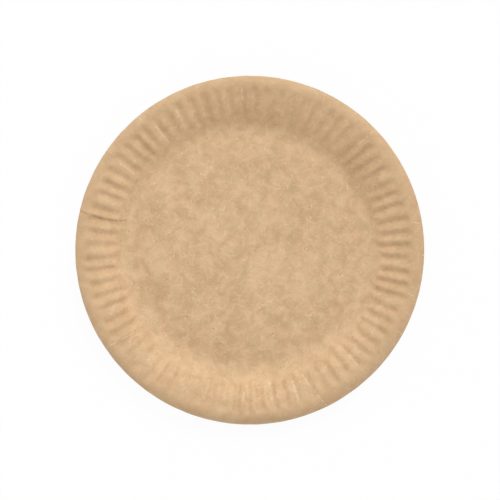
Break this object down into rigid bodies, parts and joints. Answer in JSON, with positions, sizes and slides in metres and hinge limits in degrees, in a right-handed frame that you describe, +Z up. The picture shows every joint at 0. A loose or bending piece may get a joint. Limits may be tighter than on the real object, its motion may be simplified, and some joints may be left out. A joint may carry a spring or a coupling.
{
  "type": "paper plate",
  "caption": "Round fluted paper plate with a slightly raised flat floor, a fluted sloping wall and a turned-down lip.",
  "frame": {"origin": "middle of the plate, on the surface that it stands on", "axes": "+Z up along the plate's axis; +X is through the middle of one flute's trough"},
  "size_m": [0.1799, 0.18, 0.0144],
  "materials": {
    "kraft_board": "uncoated, matt"
  },
  "bodies": {
    "root": {"plate": "kraft_board"}
  },
  "joints": []
}
